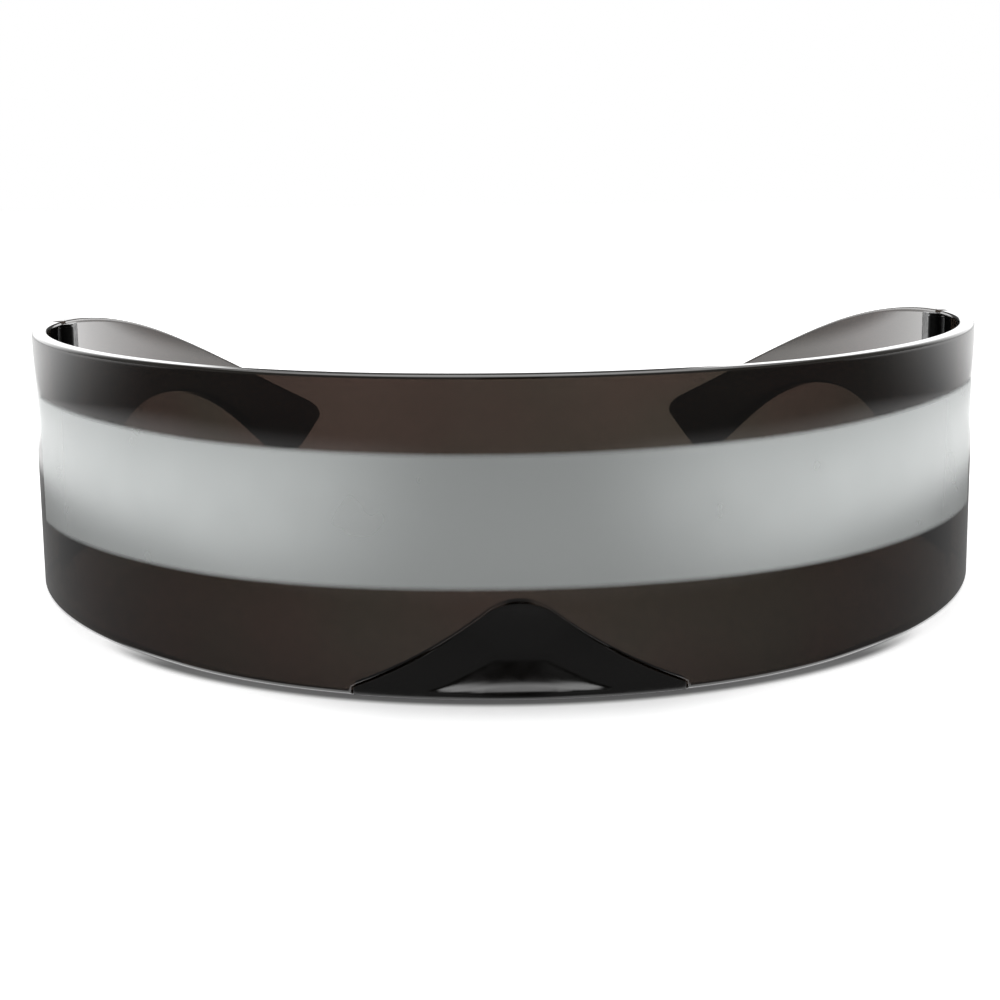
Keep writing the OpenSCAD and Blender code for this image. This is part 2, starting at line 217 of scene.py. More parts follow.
FLANK_C = bell_centre()
BLEND_A = atan2(FLANK_C.y - BELL_TOP.y, FLANK_C.x - BELL_TOP.x)


def even(a, b, n):
    return [a + (b - a) * i / n for i in range(n + 1)]


def bell_outline(inset, flank_n=26, top_n=16):
    """Bell from its left foot over the top to its right foot, as (x, z)."""
    foot_a = asin((FLANK_C.y - FOOT_H) / (BELL_FLANK_R + inset)) - pi
    flank = [
        FLANK_C + (BELL_FLANK_R + inset) * Vector((cos(a), sin(a)))
        for a in even(foot_a, BLEND_A - pi, flank_n)
    ]
    top = [
        BELL_TOP + (BELL_TOP_R - inset) * Vector((cos(a), sin(a)))
        for a in even(BLEND_A, pi / 2, top_n)
    ]
    half = flank + top[1:]
    return [Vector((-p.x, p.y)) for p in half] + half[-2::-1]


def along_front(x):
    """How far along the outer face a place at distance x from the middle is."""
    return FRONT_R * asin(x / FRONT_R)


# Rounded slabs


def inward(loop):
    """Mitred inward steps of a closed loop that runs counter-clockwise."""
    n = len(loop)
    steps = []
    for i, p in enumerate(loop):
        a, b = p - loop[i - 1], loop[(i + 1) % n] - p
        na, nb = (Vector((-v.y, v.x)).normalized() for v in (a, b))
        steps.append((na + nb) / max(1 + na.dot(nb), 0.25))
    return steps


def slab(name, sides, ups, place, thickness, edge, wide=None, no_wall=None, looks=None,
         soft=8.0, rings=5):
    """A closed wall with rounded edges on a grid between four sides.

    sides are the lower, upper, left and right outlines in flat places, ups are
    the shares of the height at which the rows run, and edge is the radius of
    the rounding, which wide(i, j) may stretch along the face. no_wall(i, j) is
    what is missing of the wall's depth, as in a hinge's pocket, and
    looks(side, band, i) numbers the material of a stretch of the edge.
    """
    low, high, left, right = sides
    n, m = len(low) - 1, len(ups) - 1
    loop_at = (
        [(i, 0) for i in range(n)]
        + [(n, j) for j in range(m)]
        + [(i, m) for i in range(n, 0, -1)]
        + [(0, j) for j in range(m, 0, -1)]
    )
    side_of = ["low"] * n + ["right"] * m + ["high"] * n + ["left"] * m
    flat = {(i, 0): low[i] for i in range(n + 1)}
    flat.update({(i, m): high[i] for i in range(n + 1)})
    flat.update({(0, j): left[j] for j in range(m + 1)})
    flat.update({(n, j): right[j] for j in range(m + 1)})
    steps = inward([flat[k] for k in loop_at])
    steps = [s * (wide(*k) if wide else edge) for k, s in zip(loop_at, steps)]
    inner = {k: flat[k] + s for k, s in zip(loop_at, steps)}

    def bulge(edge_i, i, j):
        chord = inner[(edge_i, 0)].lerp(inner[(edge_i, m)], ups[j])
        far = abs(inner[(i, 0)].x - inner[(edge_i, 0)].x)
        return (inner[(edge_i, j)] - chord) * max(0, 1 - far / soft) ** 2

    for i in range(1, n):
        for j in range(1, m):
            p = inner[(i, 0)].lerp(inner[(i, m)], ups[j])
            inner[(i, j)] = p + bulge(0, i, j) + bulge(n, i, j)

    verts, faces, tints = [], [], []

    def vert(p, depth, k):
        less = no_wall(*k) if no_wall and depth > thickness / 2 else 0
        verts.append(place(p.x, p.y, depth - less))
        return len(verts) - 1

    grid_keys = [(i, j) for j in range(m + 1) for i in range(n + 1)]
    front = {k: vert(inner[k], 0, k) for k in grid_keys}
    back = {k: vert(inner[k], thickness, k) for k in grid_keys}
    for j in range(m):
        for i in range(n):
            k = [(i, j), (i + 1, j), (i + 1, j + 1), (i, j + 1)]
            faces.append([front[c] for c in k])
            faces.append([back[c] for c in reversed(k)])
    tints += [0] * len(faces)

    def strip(a, b, band):
        for c in range(len(a)):
            d = (c + 1) % len(a)
            faces.append([a[c], b[c], b[d], a[d]])
            tints.append(looks(side_of[c], band, loop_at[c][0]) if looks else 0)

    turns = [(1 - sin(a), edge * (1 - cos(a))) for a in even(0, pi / 2, rings)][1:]
    layers = [(inset, depth, "outer") for inset, depth in turns]
    layers += [(inset, thickness - depth, "inner") for inset, depth in reversed(turns)]
    ring = [front[k] for k in loop_at]
    last = "outer"
    for inset, depth, band in layers:
        row = [vert(flat[k] + s * inset, depth, k) for k, s in zip(loop_at, steps)]
        strip(ring, row, band if band == last else "flat")
        ring, last = row, band
    strip(ring, [back[k] for k in loop_at], "inner")

    mesh = bpy.data.meshes.new(name)
    mesh.from_pydata(verts, [], faces)
    mesh.polygons.foreach_set("material_index", tints)
    mesh.validate()
    return show(name, mesh)


def show(name, mesh):
    obj = bpy.data.objects.new(name, mesh)
    bpy.context.scene.collection.objects.link(obj)
    return obj


def finish(obj, materials, sharp=32):
    """Gives a piece its materials, outward faces and clean shading."""
    mesh = obj.data
    for m in materials:
        mesh.materials.append(m)
    make_outward(mesh)
    mesh.polygons.foreach_set("use_smooth", [True] * len(mesh.polygons))
    mesh.set_sharp_from_angle(angle=radians(sharp))
    even_out = obj.modifiers.new("even shading", "WEIGHTED_NORMAL")
    even_out.keep_sharp = True
    even_out.weight = 60
    return obj


def make_outward(mesh):
    volume = 0.0
    for f in mesh.polygons:
        p = [mesh.vertices[v].co for v in f.vertices]
        for k in range(1, len(p) - 1):
            volume += p[0].dot(p[k].cross(p[k + 1]))
    if volume < 0:
        mesh.flip_normals()


# Materials


def linear(hex_colour):
    """sRGB hex, such as 4A463F, as linear RGBA."""
    out = []
    for k in (0, 2, 4):
        c = int(hex_colour[k : k + 2], 16) / 255
        out.append(c / 12.92 if c <= 0.04045 else ((c + 0.055) / 1.055) ** 2.4)
    return (*out, 1.0)


def add(tree, kind, inputs=None, **settings):
    """Adds a node with its settings, and links or sets its inputs."""
    node = tree.nodes.new(kind)
    for key, value in settings.items():
        setattr(node, key, value)
    for key, value in (inputs or {}).items():
        socket = node.inputs[key]
        if isinstance(value, bpy.types.NodeSocket):
            tree.links.new(value, socket)
        else:
            socket.default_value = value
    return node


def maths(tree, kind, *terms):
    return add(tree, "ShaderNodeMath", dict(enumerate(terms)), operation=kind).outputs[0]


def ramp(tree, value, span, ends=(0.0, 1.0), kind="SMOOTHSTEP"):
    """What runs from one end value to the other while value crosses the span."""
    limits = {"From Min": span[0], "From Max": span[1], "To Min": ends[0], "To Max": ends[1]}
    return add(
        tree, "ShaderNodeMapRange", {"Value": value, **limits}, interpolation_type=kind
    ).outputs[0]


def noise(tree, patch_mm, **settings):
    """Soft noise whose patches are about that large, fixed to the object."""
    where = add(tree, "ShaderNodeTexCoord").outputs["Object"]
    inputs = {"Vector": where, "Scale": 1 / (patch_mm * MM), **settings}
    return add(tree, "ShaderNodeTexNoise", inputs).outputs["Fac"]


def blend(tree, share, first, second):
    """Mix of two colours."""
    inputs = {"Factor": share, "A": linear(first), "B": linear(second)}
    return add(tree, "ShaderNodeMix", inputs, data_type="RGBA").outputs["Result"]


def mix_shaders(tree, share, first, second):
    return add(tree, "ShaderNodeMixShader", {0: share, 1: first, 2: second}).outputs[0]


def new_material(name):
    mat = bpy.data.materials.new(name)
    mat.use_nodes = True
    mat.node_tree.nodes.clear()
    return mat, mat.node_tree


def surface(tree, shader):
    add(tree, "ShaderNodeOutputMaterial", {"Surface": shader})


POLYCARBONATE_IOR = 1.585


def smoke_material(name, warm, cool, patch_mm):
    """Moulded smoke polycarbonate: dark see-through walls whose brown grey
    drifts a little between warm and greenish, as moulded sheet does. A slanting
    view meets more of the wall and is darker, and the hard clear gloss grows
    toward grazing view."""
    mat, tree = new_material(name)
    drift = noise(tree, patch_mm, Detail=1.5, Roughness=0.4)
    tint = blend(tree, ramp(tree, drift, (0.35, 0.65), kind="LINEAR"), warm, cool)
    facing = add(tree, "ShaderNodeLayerWeight", {"Blend": 0.5}).outputs["Facing"]
    straight = maths(tree, "SUBTRACT", 1.0, facing)
    squared = maths(tree, "MULTIPLY", straight, straight)
    bend = 1 / POLYCARBONATE_IOR**2
    inside = maths(tree, "MULTIPLY_ADD", squared, bend, 1 - bend)
    way = maths(tree, "POWER", inside, -0.5)
    deep = add(tree, "ShaderNodeGamma", {"Color": tint, "Gamma": way})
    through = add(tree, "ShaderNodeBsdfTransparent", {"Color": deep.outputs[0]})
    gloss = add(tree, "ShaderNodeBsdfAnisotropic", {"Color": linear("FFFFFF"), "Roughness": 0.03})
    f0 = ((POLYCARBONATE_IOR - 1) / (POLYCARBONATE_IOR + 1)) ** 2
    mirrored = maths(tree, "MULTIPLY_ADD", maths(tree, "POWER", facing, 5.0), 1 - f0, f0)
    surface(tree, mix_shaders(tree, mirrored, through.outputs[0], gloss.outputs[0]))
    return mat


def gloss_material(name, colour, colour_b, grain_mm, rough_shares, ior=1.5, bump_mm=0.0,
                   metallic=0.0):
    """Opaque glossy or satin finish whose gloss varies over a fine grain."""
    mat, tree = new_material(name)
    grain = noise(tree, grain_mm, Detail=3.0)
    skin = {
        "Base Color": blend(tree, grain, colour, colour_b),
        "Roughness": ramp(tree, grain, (0.3, 0.7), rough_shares, kind="LINEAR"),
        "Metallic": metallic,
    }
    if not metallic:
        skin["IOR"] = ior
    if bump_mm:
        bump = add(
            tree,
            "ShaderNodeBump",
            {"Height": grain, "Distance": bump_mm * MM, "Strength": 0.5},
        )
        skin["Normal"] = bump.outputs["Normal"]
    surface(tree, add(tree, "ShaderNodeBsdfPrincipled", skin).outputs[0])
    return mat


def mirror_film():
    """Vacuum-coated silver stripe: a thin, soft-edged metal layer that spreads
    what it mirrors and lets a trace of the smoke wall through."""
    mat, tree = new_material("vacuum coated silver film")
    cloud = noise(tree, 9, Detail=2.0)
    rough = ramp(tree, cloud, (0.0, 1.0), (0.22, 0.30), kind="LINEAR")
    metal = add(
        tree,
        "ShaderNodeBsdfPrincipled",
        {"Base Color": linear("D4D8D7"), "Metallic": 0.6, "Roughness": rough},
    )
    clear = add(tree, "ShaderNodeBsdfTransparent", {"Color": linear("FFFFFF")})
    inset = add(tree, "ShaderNodeAttribute", attribute_name="from_edge")
    cover = ramp(tree, inset.outputs["Fac"], (0.0, FILM_FADE), (0.0, 0.9))
    surface(tree, mix_shaders(tree, cover, clear.outputs[0], metal.outputs[0]))
    return mat


SMOKE = smoke_material("moulded smoke polycarbonate", "7A6F69", "77716A", 16)
RIM = gloss_material(
    "polished edge of smoke polycarbonate", "17140F", "1D1913", 3.0, (0.06, 0.12), POLYCARBONATE_IOR
)
FILM = mirror_film()
BRIDGE = gloss_material(
    "moulded black nylon", "090807", "0E0C0A", 1.5, (0.16, 0.24), 1.53, 0.01
)
STEEL = gloss_material(
    "blackened hinge steel", "1C1C1C", "2A2A29", 0.6, (0.3, 0.45), 1.5, 0.005, 0.8
)


# Shield


def shield_columns():
    """Places along the wall: the bell's points in the middle, even steps to the
    hinge pocket, and close steps through the pocket and the knuckles' room."""
    bell = bell_outline(0)
    foot_draft, foot_room, step = 0.08, 1.6, 0.9
    foot = along_front(BELL_W / 2)
    pocket = WALL_END - FRONT_LEAF_L / ARM_INNER_R * ARM_R - POCKET_FIT
    right = [foot + foot_draft]
    right += even(foot + foot_room, pocket - SLIVER, round((pocket - foot) / step))
    right += even(pocket, WALL_END - ROOM_REACH, 4)[:-1]
    right += [WALL_END - ROOM_REACH * s for s in reversed(ROOM_SHARES)]
    middle = [along_front(p.x) for p in bell]
    return [-s for s in reversed(right)] + middle + right, len(right), bell


def pocket_rows(extra):
    """Shares of the height at which rows run, with close pairs at the limits
    of the leaf's pocket and of the knuckles' room."""
    limits = [
        HINGE_FOOT - KNUCKLE_GAP - SLIVER,
        HINGE_FOOT - KNUCKLE_GAP,
        HINGE_FOOT - POCKET_FIT,
        HINGE_TOP + POCKET_FIT,
        HINGE_TOP + POCKET_FIT + SLIVER,
    ]
    return sorted(extra + [(z - EDGE_R) / INNER_H for z in limits])


def row_height(up_share):
    """Height of a row of the wall's face, between its rounded edges."""
    return EDGE_R + INNER_H * up_share


def hinge_cut(from_end, leaf_far, z):
    """How deep the knuckles' room and the leaf's pocket cut into a wall's inner
    face, at a distance from its end and at a height."""
    slack, cut = 0.005, 0
    off = from_end + END_GAP / 2
    if z > HINGE_FOOT - KNUCKLE_GAP - slack and off < ROOM_R:
        cut = max(0, sqrt(ROOM_R**2 - off**2) - AXIS_INSET)
    if HINGE_FOOT - POCKET_FIT - slack < z < HINGE_TOP + POCKET_FIT + slack:
        if from_end < leaf_far + slack:
            cut = max(cut, LEAF_T + POCKET_FIT)
    return cut


def make_shield():
    along, first, bell = shield_columns()
    last = first + len(bell) - 1
    low = [
        Vector((s, bell[i - first].y if first <= i <= last else 0))
        for i, s in enumerate(along)
    ]
    high = [Vector((s, SHIELD_H)) for s in along]
    ups = pocket_rows(even(0, 1, 14))
    left = [Vector((along[0], SHIELD_H * u)) for u in ups]
    right = [Vector((along[-1], SHIELD_H * u)) for u in ups]
    pocket = FRONT_LEAF_L / ARM_INNER_R * ARM_R + POCKET_FIT
    widen_n = 6

    def no_wall(i, j):
        return hinge_cut(WALL_END - abs(along[i]), pocket, row_height(ups[j]))

    def wide(i, j):
        if j or not first <= i <= last:
            return EDGE_R
        widened = min(i - first, last - i, widen_n) / widen_n
        return EDGE_R + (BELL_BAND - EDGE_R) * widened

    def looks(side, band, i):
        by_bell = first - 1 <= i <= last
        return int(side == "high" or side == "low" and band == "outer" and not by_bell)

    obj = slab(
        "shield_wall", (low, high, left, right), ups, on_shield, WALL_T, EDGE_R,
        wide, no_wall, looks,
    )
    return finish(obj, [SMOKE, RIM])


# Silver film: a strip that follows the wall's plan and spreads toward its ends


def film_tree():
    tree = bpy.data.node_groups.new("strip along the wall", "GeometryNodeTree")
    sockets = {
        "Path": "NodeSocketGeometry",
        "Middle height": "NodeSocketFloat",
        "Lean": "NodeSocketFloat",
        "Half height": "NodeSocketFloat",
        "Spread": "NodeSocketFloat",
        "Half span": "NodeSocketFloat",
        "Thickness": "NodeSocketFloat",
        "Steps along": "NodeSocketInt",
        "Steps up": "NodeSocketInt",
        "Finish": "NodeSocketMaterial",
    }
    for name, kind in sockets.items():
        tree.interface.new_socket(name=name, in_out="INPUT", socket_type=kind)
    tree.interface.new_socket(name="Strip", in_out="OUTPUT", socket_type="NodeSocketGeometry")
    given = add(tree, "NodeGroupInput").outputs

    def calc(kind, *terms):
        return maths(tree, kind, *terms)

    path = add(tree, "GeometryNodeMeshToCurve", {"Mesh": given["Path"]}).outputs["Curve"]
    grid = add(
        tree,
        "GeometryNodeMeshGrid",
        {
            "Size X": 1.0,
            "Size Y": 1.0,
            "Vertices X": given["Steps along"],
            "Vertices Y": given["Steps up"],
        },
    ).outputs["Mesh"]
    spot = add(
        tree, "ShaderNodeSeparateXYZ", {0: add(tree, "GeometryNodeInputPosition").outputs[0]}
    ).outputs
    share = calc("ADD", spot["X"], 0.5)
    # Rows crowd toward the long edges, where the silver fades out
    up_share = calc("SINE", calc("MULTIPLY", spot["Y"], pi))
    at = add(tree, "GeometryNodeSampleCurve", {"Curves": path, "Factor": share}, mode="FACTOR")
    x = add(tree, "ShaderNodeSeparateXYZ", {0: at.outputs["Position"]}).outputs["X"]
    far = calc("DIVIDE", x, given["Half span"])
    half = calc("MULTIPLY_ADD", calc("MULTIPLY", far, far), given["Spread"], given["Half height"])
    middle = calc("MULTIPLY_ADD", x, given["Lean"], given["Middle height"])
    rise = calc("MULTIPLY_ADD", up_share, half, middle)
    lift = add(tree, "ShaderNodeCombineXYZ", {"Z": rise}).outputs[0]
    place = add(
        tree, "ShaderNodeVectorMath", {0: at.outputs["Position"], 1: lift}, operation="ADD"
    )
    from_long = calc("MULTIPLY", half, calc("SUBTRACT", 1.0, calc("ABSOLUTE", up_share)))
    length = add(tree, "GeometryNodeCurveLength", {0: path}).outputs[0]
    from_short = calc("MULTIPLY", length, calc("MINIMUM", share, calc("SUBTRACT", 1.0, share)))
    from_edge = calc("DIVIDE", calc("MINIMUM", from_long, from_short), MM)
    # The fade is measured on the flat grid, before the strip is laid on the wall
    measured = add(
        tree,
        "GeometryNodeStoreNamedAttribute",
        {"Geometry": grid, "Name": "from_edge", "Value": from_edge},
        data_type="FLOAT",
        domain="POINT",
    ).outputs["Geometry"]
    laid = add(
        tree, "GeometryNodeSetPosition", {"Geometry": measured, "Position": place.outputs[0]}
    ).outputs["Geometry"]
    raised = add(
        tree,
        "GeometryNodeExtrudeMesh",
        {"Mesh": laid, "Offset Scale": given["Thickness"], "Individual": False},
        mode="FACES",
    ).outputs["Mesh"]
    back = add(tree, "GeometryNodeFlipFaces", {"Mesh": laid}).outputs["Mesh"]
    shell = add(tree, "GeometryNodeJoinGeometry", {"Geometry": back})
    tree.links.new(raised, shell.inputs["Geometry"])
    closed = add(
        tree, "GeometryNodeMergeByDistance", {"Geometry": shell.outputs[0], "Distance": MM / 1000}
    ).outputs[0]
    real = add(tree, "GeometryNodeRealizeInstances", {"Geometry": closed}).outputs[0]
    done = add(
        tree, "GeometryNodeSetMaterial", {"Geometry": real, "Material": given["Finish"]}
    ).outputs[0]
    add(tree, "NodeGroupOutput", {"Strip": done})
    return tree


def make_film():
    end = FRONT_END + radians(STRIPE_SWEEP - FRONT_SWEEP) * SIDE_R
    off_wall, path_steps = 0.01, 400
    path = bpy.data.meshes.new("path of the stripe")
    verts = [on_shield(s, 0, -off_wall) for s in even(-end, end, path_steps)]
    path.from_pydata(verts, [(i, i + 1) for i in range(path_steps)], [])
    strip = show("path of the stripe", path)
    grow = strip.modifiers.new("strip", "NODES")
    grow.node_group = film_tree()
    values = {
        "Middle height": STRIPE_Z * MM,
        "Lean": STRIPE_LEAN_SHARE,
        "Half height": STRIPE_H / 2 * MM,
        "Spread": STRIPE_FLARE * MM,
        "Half span": on_shield(end, 0, 0).x,
        "Thickness": (FILM_T - off_wall) * MM,
        "Steps along": 261,
        "Steps up": 33,
        "Finish": FILM,
    }
    for item in grow.node_group.interface.items_tree:
        if item.name in values:
            grow[item.identifier] = values[item.name]
    return finish(settle(strip, "silver_film"), [])


def settle(obj, name):
    """The plain mesh that an object's modifiers make, in place of the object."""
    graph = bpy.context.evaluated_depsgraph_get()
    mesh = bpy.data.meshes.new_from_object(obj.evaluated_get(graph))
    mesh.name = name
    bpy.data.objects.remove(obj)
    return show(name, mesh)


# Arms


def bezier(p, t):
    a, b, c, d = (Vector(q) for q in p)
    return (1 - t) ** 3 * a + 3 * (1 - t) ** 2 * t * b + 3 * (1 - t) * t * t * c + t**3 * d


def outline(pieces, n):
    points = [bezier(p, k / n) for p in pieces for k in range(n)]
    points.append(Vector(pieces[-1][3]))
    return [Vector((q.x * ARM_L, q.y * SHIELD_H)) for q in points]


def height_at(points, s):
    for a, b in zip(points, points[1:]):
        if a.x <= s <= b.x and b.x > a.x:
            return a.y + (b.y - a.y) * (s - a.x) / (b.x - a.x)
    return points[-1].y if s > points[-1].x else points[0].y


def along_line(points, shares):
    """Places at those shares of the way along a line of points."""
    ways = [0.0]
    for a, b in zip(points, points[1:]):
        ways.append(ways[-1] + (b - a).length)
    places = []
    for share in shares:
        want = share * ways[-1]
        k = min(max(i for i, w in enumerate(ways) if w <= want + 1e-9), len(points) - 2)
        t = (want - ways[k]) / (ways[k + 1] - ways[k])
        places.append(points[k].lerp(points[k + 1], min(t, 1)))
    return places


def make_arm(side):
    crown, heel = outline(CROWN_SHARES, 160), outline(HEEL_SHARES, 60)
    tip = outline(TIP_SHARES, 40)
    heel.insert(0, Vector((0, 0)))
    pocket = ARM_LEAF_L / ARM_INNER_R * ARM_MID_R + POCKET_FIT
    near = [ROOM_REACH * s for s in ROOM_SHARES]
    near += even(ROOM_REACH, pocket, 6)[1:] + [pocket + SLIVER]
    low_s, high_s = (near + even(near[-1], end.x, 150)[1:] for end in (heel[-1], crown[-1]))
    low = [Vector((s, height_at(heel, s))) for s in low_s]
    high = [Vector((s, height_at(crown, s))) for s in high_s]
    ups = pocket_rows(even(0, 1, 12))
    left = [Vector((0, row_height(u))) for u in ups]
    left[0], left[-1] = low[0], high[0]
    right = along_line(tip, [1 - u for u in ups])

    def no_wall(i, j):
        return hinge_cut(low_s[i], pocket, row_height(ups[j]))

    name = "arm_left_wall" if side < 0 else "arm_right_wall"
    sides = (low, high, left, right)
    return finish(slab(name, sides, ups, on_arm(side), WALL_T, EDGE_R, no_wall=no_wall), [SMOKE])


# Nose bridge

DISH_LOW_Z = RIM_H + sqrt(DISH_LOW_R**2 - (DISH_LOW_R - DISH_DEPTH) ** 2)
DISH_HIGH_R = ((BELL_H - DISH_LOW_Z) ** 2 + DISH_DEPTH**2) / (2 * DISH_DEPTH)


def dish_depth(x, z):
    """Depth of the scoop in the bridge's front face."""
    r = DISH_LOW_R if z < DISH_LOW_Z else DISH_HIGH_R
    off = abs(z - DISH_LOW_Z)
    if off >= r:
        return 0
    by_height = DISH_DEPTH - (r - sqrt(r * r - off * off))
    rise = min(max((z - RIM_H) / RIM_ROUND, 0), 1)
    by_height *= rise * rise * (3 - 2 * rise)
    front = FRONT_R - sqrt(FRONT_R**2 - x * x)
    side = sqrt(DISH_SIDE_R**2 - x * x) - DISH_SIDE_R
    return max(0, min(by_height, DISH_DEPTH * (1 + DISH_SLACK_SHARE) + side - front))


def make_plate():
    bell = bell_outline(BOND_GAP)
    low = [Vector((along_front(p.x), 0)) for p in bell]
    high = [Vector((along_front(p.x), p.y)) for p in bell]
    ups = even(0, 1, 24)
    left = [low[0].lerp(high[0], u) for u in ups]
    right = [low[-1].lerp(high[-1], u) for u in ups]

    def scooped(s, z, deep):
        share = max(0, 1 - deep / (PLATE_T / 2))
        return on_shield(s, z, deep + dish_depth(FRONT_R * sin(s / FRONT_R), z) * share)

    sides = (low, high, left, right)
    return slab("bridge_plate", sides, ups, scooped, PLATE_T, PLATE_EDGE_R, rings=3)


def make_saddle():
    """Bell-shaped saddle that droops toward a trimmed rear edge, so that it
    stays hidden behind the plate."""
    root = (WALL_T + PLATE_T) / 2
    lobe_r = (SADDLE_REACH - PLATE_T) * LOBE_R_SHARE
    lean = (SADDLE_REACH - PLATE_T) * LEAN_SHARE
    lean_top = BELL_H + 1

    def rear(z):
        if z < lobe_r:
            return SADDLE_REACH - lobe_r + sqrt(lobe_r**2 - (lobe_r - max(z, 0)) ** 2)
        return SADDLE_REACH - lean * z / lean_top

    def point(i, t, deep):
        bell = bell_outline(2 * BOND_GAP + SADDLE_DROOP * t + deep)
        bell = [Vector((bell[0].x, 0))] + bell + [Vector((bell[-1].x, 0))]
        r = FRONT_R - root
        y = (FRONT_R - sqrt(r * r - bell[i].x ** 2)) * (1 - t) + SADDLE_REACH * t
        return bell[i], y

    count, m, tries, least = len(bell_outline(0)) + 2, 16, 24, 0.05
    verts, faces, sheets = [], [], []
    for deep in (0, SADDLE_T):
        lines = []
        for i in range(count):
            end = 1.0
            for _ in range(tries):
                p, y = point(i, end, deep)
                end = min(1.0, max(least, end - (y - rear(p.y)) / SADDLE_REACH))
            line = []
            for k in range(m + 1):
                p, y = point(i, end * k / m, deep)
                line.append(len(verts))
                verts.append(to_frame(p.x, y, p.y))
            lines.append(line)
        sheets.append(lines)
    outer, inner = sheets
    for i in range(count - 1):
        for k in range(m):
            faces.append([outer[i][k], outer[i][k + 1], outer[i + 1][k + 1], outer[i + 1][k]])
            faces.append([inner[i][k], inner[i + 1][k], inner[i + 1][k + 1], inner[i][k + 1]])
        faces.append([outer[i][0], outer[i + 1][0], inner[i + 1][0], inner[i][0]])
        faces.append([outer[i][m], inner[i][m], inner[i + 1][m], outer[i + 1][m]])
    for k in range(m):
        faces.append([outer[0][k], inner[0][k], inner[0][k + 1], outer[0][k + 1]])
        faces.append([outer[-1][k], outer[-1][k + 1], inner[-1][k + 1], inner[-1][k]])
    mesh = bpy.data.meshes.new("bridge_saddle")
    mesh.from_pydata(verts, [], faces)
    mesh.validate()
    return show("bridge_saddle", mesh)


def make_bridge():
    plate, saddle = make_plate(), make_saddle()
    for piece in (plate, saddle):
        make_outward(piece.data)
    weld = plate.modifiers.new("weld", "BOOLEAN")
    weld.operation, weld.solver, weld.object = "UNION", "EXACT", saddle
    bridge = settle(plate, "bridge_moulding")
    bpy.data.objects.remove(saddle)
    bridge.data.materials.clear()
    return finish(bridge, [BRIDGE], sharp=40)


# Put together


def dress(piece, body, node):
    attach(piece, body)
    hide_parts(node)


dress(make_shield(), "front", "shield")
dress(make_film(), "front", "mirror_stripe")
dress(make_bridge(), "front", "nose_bridge")
for side, word in ((-1, "left"), (1, "right")):
    dress(make_arm(side), "arm_" + word, "temple_" + word)
    for part in ("hinge_front_", "hinge_arm_", "hinge_screw_"):
        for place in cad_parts[part + word].material_slots:
            place.material = STEEL


# Table, light and camera


